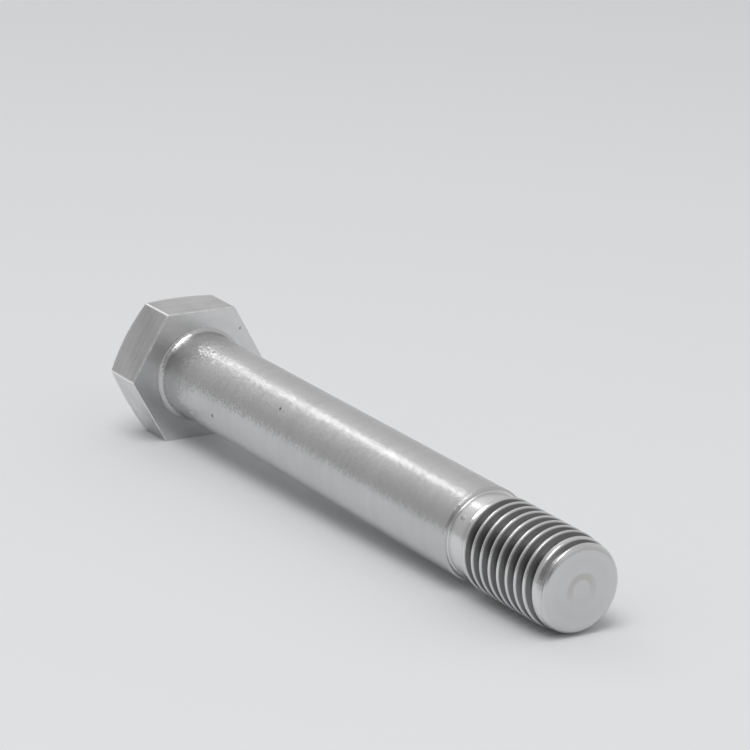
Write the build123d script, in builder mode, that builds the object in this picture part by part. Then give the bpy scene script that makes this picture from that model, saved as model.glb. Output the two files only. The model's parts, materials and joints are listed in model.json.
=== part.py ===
"""Shoulder bolt: hexagon head, plain turned shank, relief neck and a short right-hand thread.

The bolt is one piece, turned and milled from stainless steel bar. It is modelled as it comes to
rest on a level surface: on the front edge of the head's lower flat, and on the last full crest
of the thread. Sizes are in millimetres. Places along the bolt are measured from the bearing
face under the head: the head lies behind it and the tip points along +X, with +Z up.
"""

import os
from math import atan2, cos, floor, radians, sin, sqrt, tan

from build123d import *

# ---- Driving dimensions ---------------------------------------------------------------------

across_flats = 18.0
head_height = 7.5
head_crown_diameter = 17.3  # the round on top of the head, where its chamfer starts
head_chamfer_angle = 30.0

shank_diameter = 12.0  # the part that the carried piece turns on
shank_length = 70.4  # bearing face to the step down to the neck
shank_end_chamfer = 0.25
under_head_fillet = 0.7

neck_relief = 0.495  # how far the neck is turned below the crests, on the radius
neck_length = 2.6
neck_fillet = 0.2

crest_allowance = 0.15  # the crests stand this much below the shank, on the diameter
thread_pitch = 1.75
thread_flank_angle = 60.0  # between the two flanks of a groove
thread_length = 17.0  # neck to tip
thread_lead_in = 0.9  # axial length over which the root sinks from the neck to full depth
first_crest = 1.0  # from the neck to the first full crest, along the top of the bolt

tip_taper_length = 3.4
tip_taper_angle = 9.3
tip_round = 1.0  # corner radius round the end face
centre_mark_diameter = 3.2
centre_mark_depth = 0.12

# ---- Derived sizes --------------------------------------------------------------------------

shank_radius = shank_diameter / 2
thread_radius = (shank_diameter - crest_allowance) / 2
neck_radius = thread_radius - neck_relief
crown_radius = head_crown_diameter / 2
head_corner_radius = across_flats / sqrt(3)
under_head_radius = shank_radius + under_head_fillet

crest_flat = thread_pitch / 8
root_flat = thread_pitch / 6
flank_slope = tan(radians(thread_flank_angle / 2))  # axial run of a flank per radial rise
thread_depth = (thread_pitch - crest_flat - root_flat) / 2 / flank_slope
root_radius = thread_radius - thread_depth

thread_start = shank_length + neck_length
first_crest_place = thread_start + first_crest
tip_end = thread_start + thread_length
taper_start = tip_end - tip_taper_length
taper_end_radius = thread_radius - tip_taper_length * tan(radians(tip_taper_angle))
tip_corner_half_angle = radians((90 + tip_taper_angle) / 2)
end_face_radius = taper_end_radius - tip_round / tan(tip_corner_half_angle)

# ---- Pose at rest ---------------------------------------------------------------------------

# Under the bolt each crest is half a pitch further on than it is on top. The last one there that
# the tip's taper leaves whole touches the surface, and so does the bearing face's lower edge.
lower_crest = first_crest_place + thread_pitch / 2
whole_turns = floor((taper_start - crest_flat / 2 - lower_crest) / thread_pitch)
rest_crest = lower_crest + whole_turns * thread_pitch + crest_flat / 2
rest_tilt = atan2(across_flats / 2 - thread_radius, rest_crest)

rearmost = head_height * cos(rest_tilt) + crown_radius * sin(rest_tilt)
foremost = tip_end * cos(rest_tilt) + end_face_radius * sin(rest_tilt)
bearing_centre = Vector((rearmost - foremost) / 2, 0, across_flats / 2 * cos(rest_tilt))

along = Vector(cos(rest_tilt), 0, -sin(rest_tilt))  # bolt axis, head to tip
upward = Vector(sin(rest_tilt), 0, cos(rest_tilt))  # from the axis to the head's upper flat
bolt_axis = Axis(bearing_centre, along)

# Half-profiles are drawn with X along the bolt and Y away from its axis.
profile_plane = Plane(bearing_centre, x_dir=along, z_dir=along.cross(upward))
bearing_plane = Plane(bearing_centre, x_dir=upward, z_dir=along)

# ---- Outline of the threaded end ------------------------------------------------------------

# A 45 degree chamfer climbs out of the neck to the crests, which run on to the tip's taper and
# its rounded corner. Inside the neck the chamfer starts from below the thread's root.
ridge_seat = 0.1  # how far the thread ridge is let into the core
outline_margin = 0.05  # the outline clears the crests, and the ridge alone sets their height
outline_start = first_crest_place - 1.4 * thread_pitch
buried_radius = root_radius - 2 * ridge_seat
chamfer_start = thread_start - (neck_radius - buried_radius)

with BuildSketch(profile_plane) as threaded_end:
    with BuildLine():
        Polyline(
            (outline_start, 0),
            (outline_start, buried_radius),
            (chamfer_start, buried_radius),
            (thread_start + thread_radius + outline_margin - neck_radius,
             thread_radius + outline_margin),
            (taper_start - outline_margin / tan(radians(tip_taper_angle)),
             thread_radius + outline_margin),
            (tip_end, taper_end_radius),
            (tip_end, 0),
            close=True,
        )
    make_face()
    tip_corner = threaded_end.vertices().sort_by(Axis.X)[-2:].sort_by(Axis.Y)[-1]
    fillet(tip_corner, tip_round)

# ---- Thread ridge ---------------------------------------------------------------------------

# The thread is one right-hand ridge of trapezoid section, carried along a helix that starts on
# top of the bolt one pitch before the first full crest and runs out past the tip.
ridge_start = first_crest_place - thread_pitch
ridge_turns = floor((tip_end - ridge_start) / thread_pitch) + 1
ridge_foot = thread_pitch / 2 - root_flat / 2 + ridge_seat * flank_slope

with BuildPart() as thread_ridge:
    with BuildLine() as ridge_path:
        Helix(
            thread_pitch,
            ridge_turns * thread_pitch,
            root_radius,
            bearing_centre + along * ridge_start,
            along,
        )
    with BuildSketch(profile_plane):
        with BuildLine():
            Polyline(
                (ridge_start - ridge_foot, root_radius - ridge_seat),
                (ridge_start + ridge_foot, root_radius - ridge_seat),
                (ridge_start + crest_flat / 2, thread_radius),
                (ridge_start - crest_flat / 2, thread_radius),
                close=True,
            )
        make_face()
    sweep(path=ridge_path.line, is_frenet=True)
    with BuildSketch(profile_plane):
        add(threaded_end.sketch_local)
    revolve(axis=bolt_axis, mode=Mode.INTERSECT)

# ---- Bolt -----------------------------------------------------------------------------------

with BuildPart() as shoulder_bolt:
    # Hexagon head, one flat up and one down.
    with BuildSketch(bearing_plane):
        RegularPolygon(across_flats / 2, 6, major_radius=False, rotation=30)
    extrude(amount=-head_height)

    # The lathe's chamfer takes the six corners off the top of the head.
    chamfer_reach = head_corner_radius + 1
    chamfer_drop = (chamfer_reach - crown_radius) * tan(radians(head_chamfer_angle))
    with BuildSketch(profile_plane):
        with BuildLine():
            Polyline(
                (0, 0),
                (-head_height, 0),
                (-head_height, crown_radius),
                (chamfer_drop - head_height, chamfer_reach),
                (0, chamfer_reach),
                close=True,
            )
        make_face()
    revolve(axis=bolt_axis, mode=Mode.INTERSECT)

    # Shank and neck are turned, with a fillet into the bearing face and one at the neck's root.
    with BuildSketch(profile_plane):
        with BuildLine():
            Polyline(
                (0, under_head_radius),
                (0, 0),
                (thread_start + thread_lead_in, 0),
                (thread_start + thread_lead_in, root_radius),
                (thread_start, neck_radius),
                (shank_length + neck_fillet, neck_radius),
            )
            RadiusArc(
                (shank_length + neck_fillet, neck_radius),
                (shank_length, neck_radius + neck_fillet),
                neck_fillet,
            )
            Polyline(
                (shank_length, neck_radius + neck_fillet),
                (shank_length, shank_radius - shank_end_chamfer),
                (shank_length - shank_end_chamfer, shank_radius),
                (under_head_fillet, shank_radius),
            )
            RadiusArc(
                (under_head_fillet, shank_radius),
                (0, under_head_radius),
                under_head_fillet,
            )
        make_face()
    revolve(axis=bolt_axis)

    # The thread's core has the outline of the tip, down to the root of the thread.
    with BuildSketch(profile_plane):
        with BuildLine():
            Polyline(
                (thread_start + thread_lead_in, 0),
                (thread_start + thread_lead_in, root_radius),
                (tip_end, root_radius),
                (tip_end, 0),
                close=True,
            )
        make_face()
        add(threaded_end.sketch_local, mode=Mode.INTERSECT)
    revolve(axis=bolt_axis)
    add(thread_ridge.part)

    # A shallow mark is left in the end face by the lathe's centre.
    with BuildSketch(profile_plane):
        with BuildLine():
            Polyline(
                (tip_end, 0),
                (tip_end - centre_mark_depth, 0),
                (tip_end, centre_mark_diameter / 2),
                close=True,
            )
        make_face()
    revolve(axis=bolt_axis, mode=Mode.SUBTRACT)

shoulder_bolt.part.label = "shoulder_bolt"

os.makedirs("parts", exist_ok=True)
export_step(shoulder_bolt.part, "parts/shoulder_bolt.step")
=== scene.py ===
"""Looks of a stainless shoulder bolt that lies on a pale studio floor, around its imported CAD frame."""

import json
import math

import bmesh
import bpy
import numpy as np
from mathutils import Matrix, Vector


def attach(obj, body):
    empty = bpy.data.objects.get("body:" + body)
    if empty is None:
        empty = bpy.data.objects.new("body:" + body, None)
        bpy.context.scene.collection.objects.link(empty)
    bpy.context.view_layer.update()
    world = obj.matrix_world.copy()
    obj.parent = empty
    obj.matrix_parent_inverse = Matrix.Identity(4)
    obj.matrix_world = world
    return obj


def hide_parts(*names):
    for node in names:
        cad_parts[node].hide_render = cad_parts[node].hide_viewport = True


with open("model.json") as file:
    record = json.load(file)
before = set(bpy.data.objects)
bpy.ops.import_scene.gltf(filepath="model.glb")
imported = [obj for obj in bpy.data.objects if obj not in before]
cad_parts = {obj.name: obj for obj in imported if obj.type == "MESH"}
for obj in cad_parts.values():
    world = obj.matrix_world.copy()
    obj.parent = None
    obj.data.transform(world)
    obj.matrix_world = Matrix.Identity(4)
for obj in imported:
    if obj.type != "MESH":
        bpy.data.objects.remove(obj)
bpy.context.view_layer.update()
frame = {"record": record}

# ---- Where the bolt lies -------------------------------------------------------------------------------
# The bolt is turned from one bar and lies with its axis dipped a little towards the tip. Its
# shape is worked out in millimetres along and around that axis, then laid in the frame.

MM = 0.001
TURN = 2 * math.pi
mounts = {mount["name"]: mount for mount in frame["record"]["mounts"]}
along = np.array(mounts["shoulder"]["axis"], float)
along /= np.linalg.norm(along)
across = np.array([0.0, 1.0, 0.0])
upward = np.cross(along, across)
shank_radius = mounts["shoulder"]["dims"]["r_mm"]

# The bearing face's centre is where the shoulder's axis meets the plane of that face.
shoulder_point = np.array(mounts["shoulder"]["pos_m"], float)
face_point = np.array(mounts["bearing_face"]["pos_m"], float)
bearing_centre = shoulder_point + along * np.dot(face_point - shoulder_point, along)


def lay(place, angle, radius):
    """Puts points given along the axis (mm), around it (radians from the Y side) and out from it
    (mm) into the frame: centre + along * place + radius * (across * cos + upward * sin)."""
    place, angle, radius = np.broadcast_arrays(place, angle, radius)
    out = place[..., None] * along
    out = out + (radius * np.cos(angle))[..., None] * across
    out = out + (radius * np.sin(angle))[..., None] * upward
    return bearing_centre + out * MM


# ---- Head ----------------------------------------------------------------------------------------------
# A hexagon of drawn bar, parted off on the lathe, with one flat up and one down. A 30 degree
# chamfer takes the corners off its top. The faces are satin, and the edges carry a painted highlight.

across_flats = 18.0
head_height = 7.5
crown_radius = 8.65
chamfer_slope = math.tan(math.radians(30))
under_head_fillet = 0.7
fillet_gap = 0.05
hexagon_edge_radius = 0.22
crown_edge_radius = 0.25
chamfer_edge_radius = 0.12
bearing_edge_radius = 0.1
edge_steps = 5
side_steps = 10
bearing_steps = 8

# Every row of the skin has the same steps around the axis. They crowd together at the head's six
# corners, where the edges of the drawn bar are slightly round.
flat_reach = (across_flats / 2 - hexagon_edge_radius) * math.tan(math.radians(30))
round_half_angle = math.radians(30) - math.atan(flat_reach / (across_flats / 2))

corner_steps = np.linspace(0, 1, 6) * round_half_angle
flat_steps = np.linspace(math.radians(1.6), math.radians(30), 14)
half_side = np.concatenate([corner_steps, [math.radians(1.0)], flat_steps])
one_side = np.concatenate([half_side, math.radians(60) - half_side[-2:0:-1]])
around = np.concatenate([one_side + math.radians(60) * side for side in range(6)] + [[TURN]])


def hexagon_radius(angle):
    """Distance from the axis to a hexagon with rounded corners: on a flat it is the half width
    over the cosine of the angle from the flat's middle, and at a corner it is where the ray
    leaves the small circle that rounds it."""
    from_corner = np.abs((angle + math.radians(30)) % math.radians(60) - math.radians(30))
    from_middle = math.radians(30) - from_corner
    flat = across_flats / 2 / np.cos(from_middle)
    circle = (across_flats / 2 - hexagon_edge_radius) / math.cos(math.radians(30))
    under_root = hexagon_edge_radius**2 - (circle * np.sin(from_corner)) ** 2
    corner = circle * np.cos(from_corner) + np.sqrt(np.maximum(under_root, 0))
    return np.where(from_corner < round_half_angle, corner, flat)


def rounded_path(corners, radii, arc_steps=6, run_steps=None):
    """Rows along a meridian: straight runs joined by arcs. Each corner is (place, radius), a
    number or an array over the angles. An arc touches both its runs; its centre is on the line
    that halves the corner, and its points are turned evenly from one touching point to the other.
    Returns the places and radii, one row after another."""
    shape = around.shape
    points = [np.stack([np.broadcast_to(p, shape), np.broadcast_to(r, shape)], -1) for p, r in corners]
    run_steps = run_steps or [1] * (len(points) - 1)
    rows = [points[0]]
    for i in range(1, len(points)):
        here = points[i]
        if i < len(points) - 1 and radii[i] > 0:
            back = points[i - 1] - here
            ahead = points[i + 1] - here
            back = back / np.linalg.norm(back, axis=-1, keepdims=True)
            ahead = ahead / np.linalg.norm(ahead, axis=-1, keepdims=True)
            half = np.arccos(np.clip((back * ahead).sum(-1), -1, 1)) / 2
            touch = (radii[i] / np.tan(half))[..., None]
            middle = back + ahead
            middle = middle / np.linalg.norm(middle, axis=-1, keepdims=True)
            centre = here + middle * (radii[i] / np.sin(half))[..., None]
            first = here + back * touch - centre
            last = here + ahead * touch - centre
            sweep = (math.pi - 2 * half)[..., None]
            arc = [
                centre + (np.sin((1 - t) * sweep) * first + np.sin(t * sweep) * last) / np.sin(sweep)
                for t in np.linspace(0, 1, arc_steps)
            ]
        else:
            arc = [here]
        start = rows[-1]
        for step in range(1, run_steps[i - 1]):
            # Rows of a run lie close to its two ends, so that the arcs stay crisp.
            share = (1 - math.cos(math.pi * step / run_steps[i - 1])) / 2
            rows.append(start + (arc[0] - start) * share)
        rows.extend(arc)
    rows = np.array(rows)
    return rows[..., 0], rows[..., 1]


side_radius = hexagon_radius(around)
side_start = -head_height + (side_radius - crown_radius) * chamfer_slope
head_rows = rounded_path(
    [
        (-head_height, 0.0),
        (-head_height, crown_radius),
        (side_start, side_radius),
        (0.0, side_radius),
        (0.0, shank_radius + under_head_fillet + fillet_gap),
    ],
    [0, crown_edge_radius, chamfer_edge_radius, bearing_edge_radius, 0],
    arc_steps=edge_steps,
    run_steps=[6, 3, side_steps, bearing_steps],
)

# The whole bolt is one closed skin, made of sheets whose edges meet. Each sheet belongs to a zone
# with its own finish.
faces = []
points = []
charts = []
zones = []
chart_per_mm = 0.01
ZONES = ["head", "bearing_face", "shank", "threaded_end"]


def add_grid(place, radius, angle, travel, zone):
    """Adds a sheet of quads: rows run along the bolt and columns around it. The chart gives each
    point the share of a turn around the bolt, and the millimetres along it times a scale."""
    rows, columns = place.shape
    start = sum(len(block) for block in points)
    angle = np.broadcast_to(angle, place.shape)
    travel = np.broadcast_to(travel, place.shape)
    points.append(lay(place, angle, radius).reshape(-1, 3))
    charts.append(np.stack([angle / TURN, travel * chart_per_mm], -1).reshape(-1, 2))
    index = start + np.arange(rows * columns).reshape(rows, columns)
    quads = np.stack([index[:-1, :-1], index[:-1, 1:], index[1:, 1:], index[1:, :-1]], -1)
    quads = quads.reshape(-1, 4)
    faces.append(quads)
    zones.append(np.full(len(quads), ZONES.index(zone)))


def travel_along(rows):
    """Distance travelled down the rows, measured at the middle of a flat."""
    middle = np.abs(around - math.pi / 2).argmin()
    step = np.hypot(np.diff(rows[0][:, middle]), np.diff(rows[1][:, middle]))
    return np.concatenate([[0], np.cumsum(step)])


head_travel = travel_along(head_rows)
bearing_row = len(head_rows[0]) - 1 - bearing_steps
rim_row = bearing_row - edge_steps // 2
chamfer_row = rim_row - side_steps - (edge_steps - 1)
rim_travel = float(head_travel[rim_row])
chamfer_travel = float(head_travel[chamfer_row])
add_grid(
    head_rows[0][: bearing_row + 1],
    head_rows[1][: bearing_row + 1],
    around,
    head_travel[: bearing_row + 1, None],
    "head",
)

# Bare stainless steel throughout. Most of its finish comes from how each stretch was worked, but
# some of its colour is painted highlight and painted shade. The marks are heights for a Bump node,
# small tilts of the surface, and changes of gloss and colour.
mesh = bpy.data.meshes.new("shoulder_bolt_skin")


def feed(tree, socket, value):
    """Gives an input socket its value: a number, or the output socket that feeds it."""
    if isinstance(value, bpy.types.NodeSocket):
        tree.links.new(value, socket)
    else:
        socket.default_value = value


def new_group(name, inputs, outputs):
    """A shader node group with number inputs (name, default) and number outputs."""
    group = bpy.data.node_groups.new(name, "ShaderNodeTree")
    for label, default in inputs:
        socket = group.interface.new_socket(label, in_out="INPUT", socket_type="NodeSocketFloat")
        socket.default_value = default
    for label in outputs:
        group.interface.new_socket(label, in_out="OUTPUT", socket_type="NodeSocketFloat")
    return group, group.nodes.new("NodeGroupInput").outputs, group.nodes.new("NodeGroupOutput").inputs


def maths(tree, operation, *values):
    """A Math node. Each value is a number or the socket that feeds it. Returns its output."""
    node = tree.nodes.new("ShaderNodeMath")
    node.operation = operation
    for socket, value in zip(node.inputs, values):
        feed(tree, socket, value)
    return node.outputs[0]


def vector_maths(tree, operation, first, second=None):
    """A Vector Math node on one vector or two, or on a vector and the number that scales it.
    Returns the vector, or the number where it is a dot product."""
    node = tree.nodes.new("ShaderNodeVectorMath")
    node.operation = operation
    feed(tree, node.inputs[0], first)
    if second is not None:
        feed(tree, node.inputs["Scale" if operation == "SCALE" else 1], second)
    return node.outputs["Value" if operation == "DOT_PRODUCT" else "Vector"]


def step_up(tree, value, low, high):
    """Rises smoothly from 0 where the value is at low to 1 where it is at high."""
    node = tree.nodes.new("ShaderNodeMapRange")
    node.interpolation_type = "SMOOTHSTEP"
    feed(tree, node.inputs["Value"], value)
    feed(tree, node.inputs["From Min"], low)
    feed(tree, node.inputs["From Max"], high)
    return node.outputs["Result"]


def blend(tree, share, first, second):
    """Goes from the first value to the second as the share goes from 0 to 1."""
    kept = maths(tree, "MULTIPLY", maths(tree, "SUBTRACT", 1.0, share), first)
    return maths(tree, "ADD", kept, maths(tree, "MULTIPLY", share, second))


def noise(tree, vector, scale, detail=2.0, roughness=0.5, line=False):
    """A Noise Texture on a vector, or on one number where it is a line. Returns its factor."""
    node = tree.nodes.new("ShaderNodeTexNoise")
    node.noise_dimensions = "1D" if line else "3D"
    feed(tree, node.inputs["W" if line else "Vector"], vector)
    feed(tree, node.inputs["Scale"], scale)
    feed(tree, node.inputs["Detail"], detail)
    feed(tree, node.inputs["Roughness"], roughness)
    return node.outputs[0]


def object_place(tree):
    """The place on the bolt, in metres."""
    return tree.nodes.new("ShaderNodeTexCoord").outputs["Object"]


def chart_place(tree):
    """The share of a turn around the bolt, and the millimetres along its skin."""
    chart_node = tree.nodes.new("ShaderNodeUVMap")
    chart_node.uv_map = "around_and_along"
    split = tree.nodes.new("ShaderNodeSeparateXYZ")
    tree.links.new(chart_node.outputs[0], split.inputs[0])
    return split.outputs[0], maths(tree, "DIVIDE", split.outputs[1], chart_per_mm)


def make_tool_rings():
    """Fine rings left by a turning tool: noise read along the skin of the bolt, so that it is
    the same all round, and broken up a little by a slow noise."""
    group, given, result = new_group(
        "tool_rings", [("Rings per mm", 8.0), ("Breaks mm", 0.15)], ["Height", "Shade"]
    )
    millimetres = chart_place(group)[1]
    breaks = maths(group, "MULTIPLY", noise(group, object_place(group), 300.0), given["Breaks mm"])
    read_at = maths(group, "ADD", millimetres, breaks)
    fine = noise(group, read_at, given["Rings per mm"], 3.0, 0.7, line=True)
    broad = noise(group, read_at, 0.8, 2.0, line=True)
    group.links.new(fine, result["Height"])
    group.links.new(blend(group, 0.5, fine, broad), result["Shade"])
    return group


def make_grain():
    """The skin of drawn and ground steel: fine noise that swells and fades in patches of about
    5 mm, and a slower noise for its shade."""
    group, given, result = new_group("steel_grain", [("Grains per m", 3000.0)], ["Height", "Shade"])
    place = object_place(group)
    fine = noise(group, place, given["Grains per m"], 2.5, 0.62)
    patches = step_up(group, noise(group, place, 210.0, 2.0), 0.3, 0.7)
    group.links.new(maths(group, "MULTIPLY", fine, blend(group, patches, 0.6, 1.0)), result["Height"])
    group.links.new(noise(group, place, 150.0, 3.0), result["Shade"])
    return group


def make_facets():
    """A skin of tiny facets, each tilted its own way: the normal, plus the random colour of the
    nearest cell less a half, times the tilt. It makes a highlight break up into bright specks."""
    group, given, result = new_group("facets", [("Facets per m", 3000.0), ("Tilt", 0.1)], [])
    group.interface.new_socket("Normal in", in_out="INPUT", socket_type="NodeSocketVector")
    group.interface.new_socket("Normal", in_out="OUTPUT", socket_type="NodeSocketVector")
    cells = group.nodes.new("ShaderNodeTexVoronoi")
    cells.feature = "SMOOTH_F1"
    feed(group, cells.inputs["Smoothness"], 0.25)
    feed(group, cells.inputs["Vector"], object_place(group))
    feed(group, cells.inputs["Scale"], given["Facets per m"])
    own_way = vector_maths(group, "SUBTRACT", cells.outputs["Color"], (0.5, 0.5, 0.5))
    tilted = vector_maths(group, "SCALE", own_way, given["Tilt"])
    total = vector_maths(group, "ADD", given["Normal in"], tilted)
    group.links.new(vector_maths(group, "NORMALIZE", total), result["Normal"])
    return group


def make_band():
    """A band around the bolt: 1 at a distance along the skin, fading out to either side."""
    group, given, result = new_group("band", [("At mm", 0.0), ("Half width mm", 0.2)], ["Mask"])
    away = maths(group, "ABSOLUTE", maths(group, "SUBTRACT", chart_place(group)[1], given["At mm"]))
    share = maths(group, "DIVIDE", away, given["Half width mm"])
    group.links.new(maths(group, "SUBTRACT", 1.0, step_up(group, share, 0.4, 1.0)), result["Mask"])
    return group


def make_corners():
    """The six long edges of the hexagon, one every sixth of a turn: 1 on an edge and 0 away from
    it."""
    group, given, result = new_group("corners", [("Half width turns", 0.004)], ["Mask"])
    away = maths(group, "PINGPONG", chart_place(group)[0], 1 / 12)
    share = maths(group, "DIVIDE", away, given["Half width turns"])
    group.links.new(maths(group, "SUBTRACT", 1.0, step_up(group, share, 0.5, 1.0)), result["Mask"])
    return group


tool_rings = make_tool_rings()
steel_grain = make_grain()
facets = make_facets()
band = make_band()
corners = make_corners()


def use(tree, group, **values):
    """Places a node group and gives its inputs their values by name, with _ for a space."""
    node = tree.nodes.new("ShaderNodeGroup")
    node.node_tree = group
    for label, value in values.items():
        feed(tree, node.inputs[label.replace("_", " ")], value)
    return node.outputs


def micrometres(tree, *layers):
    """Adds up heights: each layer is a value and its depth in micrometres."""
    total = 0.0
    for value, depth in layers:
        total = maths(tree, "ADD", total, maths(tree, "MULTIPLY", value, depth))
    return total


def finish(
    material, reflectance, roughness, height, anisotropic=0.0, warmth=0.0, tilt=0.0, facets_per_m=3000.0
):
    """Joins the finished reflectance, roughness and height (micrometres) to the steel's shader,
    with facets over the height. Warmth takes some green and more blue out of the reflectance."""
    tree = material.node_tree
    shader = tree.nodes["Principled BSDF"]
    shader.inputs["Metallic"].default_value = 1.0
    shader.inputs["Anisotropic"].default_value = anisotropic
    if anisotropic:
        marks = tree.nodes.new("ShaderNodeTangent")
        marks.direction_type = "UV_MAP"
        marks.uv_map = "around_and_along"
        tree.links.new(marks.outputs[0], shader.inputs["Tangent"])
    colour = tree.nodes.new("ShaderNodeCombineColor")
    less_green = maths(tree, "MULTIPLY", warmth, -0.4)
    less_blue = maths(tree, "MULTIPLY", warmth, -1.0)
    feed(tree, colour.inputs[0], reflectance)
    feed(tree, colour.inputs[1], maths(tree, "MULTIPLY_ADD", reflectance, less_green, reflectance))
    feed(tree, colour.inputs[2], maths(tree, "MULTIPLY_ADD", reflectance, less_blue, reflectance))
    tree.links.new(colour.outputs[0], shader.inputs["Base Color"])
    tree.links.new(roughness, shader.inputs["Roughness"])
    bump = tree.nodes.new("ShaderNodeBump")
    bump.inputs["Distance"].default_value = 1e-6
    tree.links.new(height, bump.inputs["Height"])
    skin = use(tree, facets, Facets_per_m=facets_per_m, Tilt=tilt, Normal_in=bump.outputs[0])
    tree.links.new(skin["Normal"], shader.inputs["Normal"])


def new_steel(name):
    """A material with its own node tree, added to the bolt's mesh."""
    material = bpy.data.materials.new(name)
    material.use_nodes = True
    mesh.materials.append(material)
    return material, material.node_tree


# The milled flats have faint marks. The edges are painted bright, a painted highlight that noise breaks
# up unevenly.
head_reflectance = (0.48, 0.74)
head_roughness = (0.30, 0.22)
# Painted highlight: the reflectance that the head's edges and long corners are painted up to.
edge_highlight_reflectance = 0.95
edge_roughness = 0.42
edge_half_width = 0.16
corner_half_turns = 0.0035

material, tree = new_steel("head_steel")
rings = use(tree, tool_rings, Rings_per_mm=5.0, Breaks_mm=0.5)
grain = use(tree, steel_grain, Grains_per_m=2500.0)
chamfer_rim = use(tree, band, At_mm=chamfer_travel, Half_width_mm=edge_half_width)["Mask"]
lower_rim = use(tree, band, At_mm=rim_travel, Half_width_mm=edge_half_width)["Mask"]
rims = maths(tree, "MAXIMUM", chamfer_rim, lower_rim)
# Noise that breaks up the painted edge highlight unevenly.
highlight_breakup = step_up(tree, noise(tree, object_place(tree), 900.0), 0.35, 0.65)
rim_highlights = maths(tree, "MULTIPLY", rims, blend(tree, highlight_breakup, 0.15, 0.8))
below_chamfer = step_up(tree, chart_place(tree)[1], chamfer_travel - 0.1, chamfer_travel + 0.1)
# The six long corners get the same painted highlight below the chamfer.
long_edges = use(tree, corners, Half_width_turns=corner_half_turns)["Mask"]
long_edges = maths(tree, "MULTIPLY", long_edges, below_chamfer)
painted_edge_highlight = maths(tree, "MAXIMUM", rim_highlights, long_edges)
shade = step_up(tree, blend(tree, 0.45, rings["Shade"], grain["Shade"]), 0.3, 0.7)
finish(
    material,
    reflectance=blend(tree, painted_edge_highlight, blend(tree, shade, *head_reflectance), edge_highlight_reflectance),
    roughness=blend(tree, rims, blend(tree, shade, *head_roughness), edge_roughness),
    height=micrometres(tree, (rings["Height"], 7.0), (grain["Height"], 10.0)),
    tilt=0.03,
    facets_per_m=1500.0,
)

# ---- Bearing face --------------------------------------------------------------------------------------
# The underside of the head, faced square to the shank on the lathe. The tool left fine rings that
# spread its highlights around the bolt. Its rim is painted bright as a painted highlight, and it has
# one small brownish speck.

bearing_reflectance = (0.58, 0.78)
bearing_roughness = (0.34, 0.24)
# Painted highlight: the reflectance that the rim is painted up to.
bearing_rim_highlight_reflectance = 0.9
bearing_rim_half_width = 0.12
speck_reflectance = 0.38
speck_from_rim = 0.76
speck_turn = 0.1215
speck_size = 0.24
speck_radius = 8.4  # how far the speck is from the bolt's axis

add_grid(
    head_rows[0][bearing_row:],
    head_rows[1][bearing_row:],
    around,
    head_travel[bearing_row:, None],
    "bearing_face",
)


def make_pit():
    """One small pit in the skin: 1 within its size and 0 outside, at a place along the bolt and
    a share of a turn around it."""
    group, given, result = new_group(
        "pit", [("Along mm", 0.0), ("Turn", 0.0), ("Size mm", 0.1), ("Skin radius mm", 6.0)], ["Mask"]
    )
    turn_share, millimetres = chart_place(group)
    around_mm = maths(group, "MULTIPLY", maths(group, "SUBTRACT", turn_share, given["Turn"]), TURN)
    around_mm = maths(group, "MULTIPLY", around_mm, given["Skin radius mm"])
    along_mm = maths(group, "SUBTRACT", millimetres, given["Along mm"])
    square = maths(group, "MULTIPLY", around_mm, around_mm)
    square = maths(group, "MULTIPLY_ADD", along_mm, along_mm, square)
    distance = maths(group, "DIVIDE", maths(group, "SQRT", square), given["Size mm"])
    group.links.new(maths(group, "SUBTRACT", 1.0, step_up(group, distance, 0.5, 1.0)), result["Mask"])
    return group


pit = make_pit()

material, tree = new_steel("bearing_face_steel")
rings = use(tree, tool_rings, Rings_per_mm=7.0)
grain = use(tree, steel_grain, Grains_per_m=2500.0)
# The rim band, where the highlight is painted and the gloss drops.
painted_edge_highlight = use(tree, band, At_mm=rim_travel, Half_width_mm=bearing_rim_half_width)["Mask"]
speck = use(
    tree,
    pit,
    Along_mm=rim_travel + speck_from_rim,
    Turn=speck_turn,
    Size_mm=speck_size,
    Skin_radius_mm=speck_radius,
)["Mask"]
shade = blend(tree, 0.5, rings["Shade"], grain["Shade"])
faced = blend(tree, shade, *bearing_reflectance)
clean = blend(tree, maths(tree, "MULTIPLY", painted_edge_highlight, 0.5), faced, bearing_rim_highlight_reflectance)
finish(
    material,
    reflectance=blend(tree, speck, clean, speck_reflectance),
    roughness=blend(tree, painted_edge_highlight, blend(tree, shade, *bearing_roughness), edge_roughness),
    height=micrometres(tree, (rings["Height"], 9.0), (grain["Height"], 12.0)),
    anisotropic=0.35,
    tilt=0.03,
    warmth=maths(tree, "MULTIPLY", speck, 0.15),
)

# ---- Shank and neck ------------------------------------------------------------------------------------
# The plain part that the carried piece turns on, ground after turning. A fillet carries it into
# the bearing face, and a small edge break steps it down to the turned neck. Some of the drawn
# bar's skin shows through the grinding, most of all towards the head, and there are two pits.

shank_length = 70.4
shank_end_chamfer = 0.25
neck_radius = 5.43
neck_fillet = 0.2
edge_break_round = 0.05
fillet_ease = 0.02  # the fillet's arc starts this far from the joint
thread_start = 73.0
pitch = 1.75
first_crest = thread_start + 1.0
helix_start = first_crest - 1.25 * pitch

shank_rows = rounded_path(
    [
        (0.0, shank_radius + under_head_fillet),
        (0.0, shank_radius),
        (shank_length - shank_end_chamfer, shank_radius),
        (shank_length, shank_radius - shank_end_chamfer),
        (shank_length, neck_radius),
        (helix_start, neck_radius),
    ],
    [0, under_head_fillet - fillet_ease, edge_break_round, edge_break_round, neck_fillet, 0],
    arc_steps=7,
    run_steps=[1, 14, 2, 2, 2],
)

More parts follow.
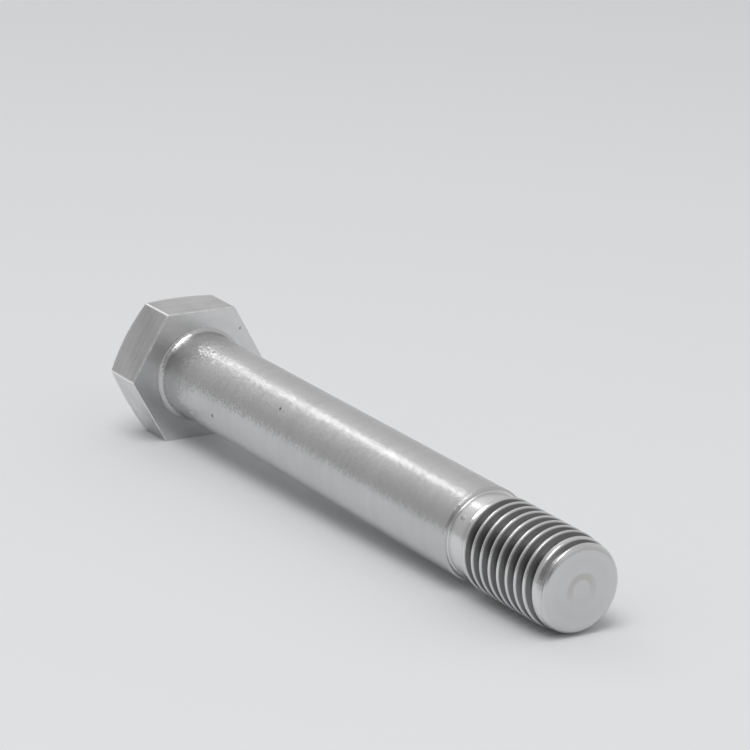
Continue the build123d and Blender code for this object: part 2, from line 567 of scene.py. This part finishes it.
# A narrow sheet joins the bearing face to the fillet. The neck has the threaded end's finish.
joint = (
    np.stack([head_rows[0][-1], shank_rows[0][0]]),
    np.stack([head_rows[1][-1], shank_rows[1][0]]),
)
add_grid(joint[0], joint[1], around, head_travel[-1] + np.array([[0], [fillet_gap]]), "bearing_face")
shank_travel = travel_along(shank_rows)
shank_travel = shank_travel + helix_start - shank_travel[-1]
neck_row = int(np.argmax(shank_rows[0][:, 0] >= shank_length - 1e-6))
add_grid(
    shank_rows[0][: neck_row + 1],
    shank_rows[1][: neck_row + 1],
    around,
    shank_travel[: neck_row + 1, None],
    "shank",
)
add_grid(
    shank_rows[0][neck_row:],
    shank_rows[1][neck_row:],
    around,
    shank_travel[neck_row:, None],
    "threaded_end",
)

shank_reflectance = (0.50, 0.70)
shank_roughness = (0.30, 0.22)
pit_reflectance = 0.16
pit_depth = -60.0  # micrometres

material, tree = new_steel("shank_steel")
rings = use(tree, tool_rings, Rings_per_mm=4.0)
grain = use(tree, steel_grain, Grains_per_m=5200.0)
coarse = use(tree, steel_grain, Grains_per_m=2000.0)
to_neck = step_up(tree, chart_place(tree)[1], 4.0, 66.0)
drawn_skin = maths(tree, "MULTIPLY", grain["Height"], blend(tree, to_neck, 1.0, 0.5))
near_pit = use(tree, pit, Along_mm=13.76, Turn=0.5266, Size_mm=0.3)["Mask"]
far_pit = use(tree, pit, Along_mm=28.68, Turn=0.3775, Size_mm=0.26)["Mask"]
pits = maths(tree, "MAXIMUM", near_pit, far_pit)
shade = blend(tree, 0.6, rings["Shade"], grain["Shade"])
finish(
    material,
    reflectance=blend(tree, pits, blend(tree, shade, *shank_reflectance), pit_reflectance),
    roughness=blend(tree, shade, *shank_roughness),
    height=micrometres(
        tree, (rings["Height"], 1.5), (drawn_skin, 20.0), (coarse["Height"], 16.0), (pits, pit_depth)
    ),
    tilt=blend(tree, to_neck, 0.17, 0.07),
    facets_per_m=4300.0,
)

# ---- Thread and tip ------------------------------------------------------------------------------------
# A right-hand thread of 1.75 mm pitch, almost as high as the shank, which a 45 degree chamfer leads
# out of the neck. Its crests carry a painted highlight and its grooves painted shade. The tip tapers,
# and rounds into a flat faced end with the mark of the lathe's centre.

crest_radius = 5.925
crest_flat = pitch / 8
root_flat = pitch / 6
flank_slope = math.tan(math.radians(30))
root_radius = crest_radius - (pitch - crest_flat - root_flat) / 2 / flank_slope
lead_in = 0.9
tip_end = 90.0
taper_length = 3.4
taper_angle = math.radians(9.3)
tip_round = 1.0
centre_mark_radius = 1.6
centre_mark_depth = 0.12
chamfer_round = 0.06
taper_round = 0.1
neck_round = 0.04
sink_round = 0.03
sink_margin = 0.05
crest_edge_round = 0.035
root_round = 0.16
run_out_start = 88.95
run_out_length = 0.55
run_out_rise = 0.7


def soft_least(a, b, width):
    """The lesser of two values, with the corner between them rounded over about that width."""
    return (a + b) / 2 - np.sqrt((a - b) ** 2 + width**2) / 2


def soft_most(a, b, width):
    """The greater of two values, with the corner between them rounded over about that width."""
    return (a + b) / 2 + np.sqrt((a - b) ** 2 + width**2) / 2


def tip_outline(travel):
    """Place and radius of the threaded end's outline after travelling that far from the neck:
    along the neck, up a 45 degree chamfer, along the crests, down the taper, round a quarter arc
    and in along the end face. The chamfer and taper are lines, so the radius is their least."""
    corner_half = (math.pi / 2 + taper_angle) / 2
    touch = tip_round / math.tan(corner_half)
    taper_end_radius = crest_radius - taper_length * math.tan(taper_angle)
    arc_start = tip_end - touch * math.cos(taper_angle)
    sweep = math.pi / 2 - taper_angle
    arc_length = tip_round * sweep
    face_radius = taper_end_radius - touch

    chamfer = neck_radius + (travel - thread_start)
    taper = crest_radius - (travel - (tip_end - taper_length)) * math.tan(taper_angle)
    body = soft_least(soft_least(chamfer, crest_radius, chamfer_round), taper, taper_round)
    body = soft_most(body, neck_radius, neck_round)

    turned = np.clip((travel - arc_start) / tip_round, 0, sweep) + taper_angle
    arc_place = tip_end - tip_round + tip_round * np.sin(turned)
    arc_radius = face_radius + tip_round * np.cos(turned)
    past_arc = travel > arc_start
    inward = np.maximum(travel - arc_start - arc_length, 0)

    place = np.where(past_arc, arc_place, travel)
    radius = np.where(past_arc, arc_radius - inward, body)
    return place, np.maximum(radius, 0)


def thread_radius(place, angle):
    """Radius of the thread at a place and angle: the crest, less a 60 degree groove whose depth
    grows with the distance from the nearest crest line, which climbs one pitch a turn. The root
    rises along the last groove, by where the groove's middle line is, so that it runs out."""
    on_top = math.pi / 2
    phase = place - first_crest - pitch * (angle - on_top) / TURN
    from_crest = np.abs((phase + pitch / 2) % pitch - pitch / 2)
    flank = crest_radius - (from_crest - crest_flat / 2) / flank_slope
    middle = first_crest + pitch * (np.floor(phase / pitch) + 0.5 + (angle - on_top) / TURN)
    run_out = np.clip((middle - run_out_start) / run_out_length, 0, 1)
    root = root_radius + run_out_rise * run_out**2
    return soft_most(soft_least(flank, crest_radius, crest_edge_round), root, root_round)


def threaded_surface(travel, angle):
    """Place and radius of the threaded end: the lesser of its outline and of the thread, whose
    grooves sink out of the neck along a cone."""
    place, outline = tip_outline(travel)
    sink = neck_radius - (place - thread_start) * (neck_radius - root_radius) / lead_in
    grooved = soft_most(thread_radius(place, angle), np.minimum(sink, neck_radius), sink_round)
    grooved = np.where(place > thread_start - sink_margin, grooved, neck_radius)
    return place, np.minimum(outline, grooved)


# Steps across one pitch crowd at the crest's two edges and at the root.
half_pitch = np.array([0, 0.07, 0.10, 0.125, 0.16, 0.24, 0.36, 0.5, 0.62, 0.70, 0.77, 0.82, pitch / 2])
pitch_steps = np.concatenate([half_pitch, pitch - half_pitch[-2::-1]])
turns = 10
end_of_strip = helix_start + pitch * (turns + 1)

# Lead-in wedge: from the ring at the end of the neck to the first row of the helix.
turned = around / TURN
lead_travel = helix_start + pitch_steps[:, None] * turned
place, radius = threaded_surface(lead_travel, around)
add_grid(place, radius, around, lead_travel, "threaded_end")

# Helical strip, turn after turn. Its last row on one turn is its first row on the next.
for turn in range(turns):
    strip_travel = helix_start + pitch_steps[:, None] + pitch * (turn + turned)
    place, radius = threaded_surface(strip_travel, around)
    add_grid(place, radius, around, strip_travel, "threaded_end")

# Lead-out wedge, which ends on a ring on the end face.
out_travel = helix_start + pitch * turns + pitch * turned + pitch_steps[:, None] * (1 - turned)
place, radius = threaded_surface(out_travel, around)
add_grid(place, radius, around, out_travel, "threaded_end")

# End face, with the lathe centre's shallow mark in the middle. The mark is a cone: its depth falls
# with the share of its radius, and beyond its soft edge the face is flat.
end_rings = 26
mark_edge_round = 0.08
mark_reach = 1.3 * centre_mark_radius
last_radius = float(tip_outline(np.array([end_of_strip]))[1][0])
share = np.linspace(1, 0, end_rings)[:, None] * np.ones_like(around)
radius = last_radius * share
mark = centre_mark_depth * (1 - soft_least(radius / centre_mark_radius, 1.0, mark_edge_round))
place = tip_end - np.where(radius > mark_reach, 0.0, np.maximum(mark, 0))
add_grid(place, radius, around, end_of_strip + (last_radius - radius), "threaded_end")


def make_groove_mask():
    """The thread's grooves: 0 on the crest and 1 down its flanks and root. The crest line climbs
    one pitch a turn, and widens as the taper and the rounded corner cut it down. The grooves begin
    at the neck and end where the last groove's middle line reaches the run-out."""
    group, given, result = new_group("groove_mask", [("Crest half width", 0.13)], ["Mask"])
    turn_share, millimetres = chart_place(group)
    climbed = maths(group, "MULTIPLY", maths(group, "SUBTRACT", turn_share, 0.25), pitch)
    phase = maths(group, "SUBTRACT", maths(group, "SUBTRACT", millimetres, first_crest), climbed)
    from_crest = maths(group, "PINGPONG", phase, pitch / 2)

    into_taper = maths(group, "SUBTRACT", millimetres, tip_end - taper_length)
    into_arc = maths(group, "SUBTRACT", millimetres, tip_end - tip_round)
    into_taper = maths(group, "MAXIMUM", into_taper, 0.0)
    into_arc = maths(group, "MAXIMUM", into_arc, 0.0)
    arc_drop = maths(group, "DIVIDE", maths(group, "MULTIPLY", into_arc, into_arc), 2 * tip_round)
    drop = maths(group, "MULTIPLY_ADD", into_taper, math.tan(taper_angle), arc_drop)
    widened = maths(group, "MULTIPLY_ADD", drop, flank_slope, given["Crest half width"])
    groove = step_up(group, from_crest, widened, maths(group, "ADD", widened, 0.13))

    begun = step_up(group, millimetres, thread_start + 0.1, thread_start + 0.8)
    whole_turns = maths(group, "FLOOR", maths(group, "DIVIDE", phase, pitch))
    middle = maths(group, "MULTIPLY_ADD", maths(group, "ADD", whole_turns, 0.5), pitch, climbed)
    last_middle = run_out_start - first_crest
    ended = step_up(group, middle, last_middle, last_middle + 0.45)
    groove = maths(group, "MULTIPLY", groove, begun)
    mask = maths(group, "MULTIPLY", groove, maths(group, "SUBTRACT", 1.0, ended))
    group.links.new(mask, result["Mask"])
    return group


groove_mask = make_groove_mask()

neck_reflectance = (0.60, 0.80)
end_face_reflectance = (0.50, 0.66)
# Painted shade: the grooves' reflectance is darkened to stand in for the shade in them.
groove_shade_reflectance = (0.08, 0.26)
# Painted highlight: the crests' reflectance is raised above the rest.
crest_highlight_gain = 1.08
polished_roughness = (0.27, 0.19)
groove_roughness = 0.3
burr_reflectance = 0.45
# A ring round the centre mark is darkened and browned: partly a brownish stain, partly painted shade of
# the mark's edge.
stain_and_shade_reflectance = 0.36
centre_ring_half_width = 0.6

material, tree = new_steel("threaded_end_steel")
rings = use(tree, tool_rings, Rings_per_mm=6.0)
grain = use(tree, steel_grain, Grains_per_m=2500.0)
groove = use(tree, groove_mask)["Mask"]
burr = use(
    tree, pit, Along_mm=71.75, Turn=0.3946, Size_mm=0.42, Skin_radius_mm=neck_radius
)["Mask"]
ring_travel = end_of_strip + last_radius - centre_mark_radius
centre_ring = use(tree, band, At_mm=ring_travel, Half_width_mm=centre_ring_half_width)["Mask"]
# Brownish stain and painted shade on the ring round the centre mark, patchy with the grain.
stain_and_shade = maths(tree, "MULTIPLY", centre_ring, step_up(tree, grain["Shade"], 0.25, 0.6))
on_end_face = step_up(tree, chart_place(tree)[1], tip_end - 0.6, tip_end + 0.2)
shade = blend(tree, 0.5, rings["Shade"], grain["Shade"])
turned_neck = blend(tree, shade, *neck_reflectance)
end_face = blend(tree, shade, *end_face_reflectance)
polished = blend(tree, on_end_face, turned_neck, end_face)
polished = blend(tree, maths(tree, "MULTIPLY", stain_and_shade, 0.6), polished, stain_and_shade_reflectance)
polished = blend(tree, maths(tree, "MULTIPLY", burr, 0.5), polished, burr_reflectance)
# The crests with their painted highlight.
highlit_crests = maths(tree, "MULTIPLY", polished, crest_highlight_gain)
finish(
    material,
    reflectance=blend(tree, groove, highlit_crests, blend(tree, shade, *groove_shade_reflectance)),
    roughness=blend(tree, groove, blend(tree, shade, *polished_roughness), groove_roughness),
    height=micrometres(tree, (rings["Height"], 4.0), (grain["Height"], 24.0), (burr, 60.0)),
    warmth=maths(tree, "MULTIPLY", stain_and_shade, 0.08),
)

# ---- Closing the skin ----------------------------------------------------------------------------------
# The sheets become one mesh, the bolt's whole surface. Rows that meet are merged, which closes the
# poles, the seam and the joints between the sheets.

merge_distance = 2e-6
sliver_size = 1e-7

all_points = np.concatenate(points)
all_faces = np.concatenate(faces)
mesh.from_pydata(all_points.tolist(), [], all_faces.tolist())
mesh.polygons.foreach_set("material_index", np.concatenate(zones).astype(np.int32))
mesh.polygons.foreach_set("use_smooth", np.ones(len(all_faces), bool))
chart = mesh.uv_layers.new(name="around_and_along")
corner_points = np.empty(len(mesh.loops), np.int32)
mesh.loops.foreach_get("vertex_index", corner_points)
chart.data.foreach_set("uv", np.concatenate(charts)[corner_points].ravel())
bolt = bpy.data.objects.new("bolt_surface", mesh)
bpy.context.scene.collection.objects.link(bolt)

skin = bmesh.new()
skin.from_mesh(mesh)
bmesh.ops.remove_doubles(skin, verts=skin.verts, dist=merge_distance)
bmesh.ops.dissolve_degenerate(skin, dist=sliver_size, edges=skin.edges)
bmesh.ops.recalc_face_normals(skin, faces=skin.faces)
skin.to_mesh(mesh)
skin.free()

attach(bolt, "root")
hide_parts("shoulder_bolt")

# ---- Studio --------------------------------------------------------------------------------------------
# A pale paper floor in a pale room, with one large soft box overhead and a small one behind the
# head, whose light runs down the shank as one long highlight.

floor_colour = (0.80, 0.808, 0.825, 1)
floor_roughness = 0.9
reach = 3.0
bolt_middle = 45.0  # from the bearing face, in millimetres

floor_mesh = bpy.data.meshes.new("studio_floor")
floor_mesh.from_pydata(
    [(-reach, -reach, 0), (reach, -reach, 0), (reach, reach, 0), (-reach, reach, 0)], [], [(0, 1, 2, 3)]
)
floor = bpy.data.objects.new("studio_floor", floor_mesh)
bpy.context.scene.collection.objects.link(floor)
paper = bpy.data.materials.new("pale_paper")
paper.use_nodes = True
paper_shader = paper.node_tree.nodes["Principled BSDF"]
paper_shader.inputs["Base Color"].default_value = floor_colour
paper_shader.inputs["Roughness"].default_value = floor_roughness
floor_mesh.materials.append(paper)


def in_frame(vector):
    """A direction given along, across and upward on the bolt, as one in the frame."""
    return Vector(along * vector[0] + across * vector[1] + upward * vector[2])


def soft_light(name, direction, distance, width, height, watts):
    """A rectangular light box at a distance from the bolt's middle, facing it."""
    light = bpy.data.lights.new(name, "AREA")
    light.shape = "RECTANGLE"
    light.size = width
    light.size_y = height
    light.energy = watts
    box = bpy.data.objects.new(name, light)
    aim = Vector(bearing_centre + along * bolt_middle * MM)
    place = aim + in_frame(direction).normalized() * distance
    box.location = place
    box.rotation_euler = (aim - place).to_track_quat("-Z", "Y").to_euler()
    bpy.context.scene.collection.objects.link(box)


soft_light("overhead_box", (0.2, -0.3, 0.92), distance=1.1, width=0.62, height=0.62, watts=4.9)
soft_light("back_box", (-0.805, 0.02, 0.593), distance=0.8, width=0.10, height=0.10, watts=0.085)

# The room round the bolt is pale. It is brightest high up behind the head and beyond the tip,
# lighter on the bolt's far side, and dark where the person at the camera stands.
room_brightness = 0.52
far_side_gain = 0.12
darkest = 0.03
behind_head = (-0.805, 0.0, 0.593)
beyond_tip = (0.805, 0.0, 0.593)
at_camera = (0.805, -0.513, 0.299)

world = bpy.data.worlds.new("studio_air")
bpy.context.scene.world = world
world.use_nodes = True
air = world.node_tree
heading = air.nodes.new("ShaderNodeTexCoord").outputs["Generated"]


def towards(direction):
    """Cosine of the angle between the heading and a direction given on the bolt."""
    return vector_maths(air, "DOT_PRODUCT", heading, in_frame(direction).normalized())


def soft_spot(direction, tightness, strength):
    """A soft patch of the room: strength times the cosine to the power of its tightness."""
    cosine = maths(air, "MAXIMUM", towards(direction), 0.0)
    return maths(air, "MULTIPLY", maths(air, "POWER", cosine, tightness), strength)


far_side = maths(air, "MULTIPLY", towards((0, 1, 0)), far_side_gain)
room = maths(air, "ADD", room_brightness, far_side)
room = maths(air, "ADD", room, soft_spot(behind_head, tightness=12.0, strength=0.38))
room = maths(air, "ADD", room, soft_spot(beyond_tip, tightness=14.0, strength=0.30))
room = maths(air, "ADD", room, soft_spot(at_camera, tightness=9.0, strength=-0.30))
room = maths(air, "MAXIMUM", room, darkest)
air.links.new(room, air.nodes["Background"].inputs["Strength"])
air.nodes["Background"].inputs["Color"].default_value = (1, 1, 1, 1)

bpy.context.scene.view_settings.view_transform = "Standard"

# ---- Camera --------------------------------------------------------------------------------------------
# A long lens on a stand beyond the tip, to the bolt's right-hand side and a little above it. Its
# place and its two directions are given along, across and upward on the bolt.

camera_data = bpy.data.cameras.new("camera")
camera = bpy.data.objects.new("camera", camera_data)
bpy.context.scene.collection.objects.link(camera)
bpy.context.scene.camera = camera
camera_data.sensor_width = 36.0
camera_data.lens = 146.6
camera_data.clip_start = 0.01
camera_data.clip_end = 20

stand = np.array([350.015, -194.659, 126.115]) * MM
look = in_frame((-0.80471, 0.51283, -0.29907)).normalized()
right = in_frame((0.52720, 0.84893, 0.03716)).normalized()
down = look.cross(right)
turn = Matrix((right, -down, -look)).transposed()
camera.matrix_world = Matrix.Translation(
    Vector(bearing_centre + along * stand[0] + across * stand[1] + upward * stand[2])
) @ turn.to_4x4()
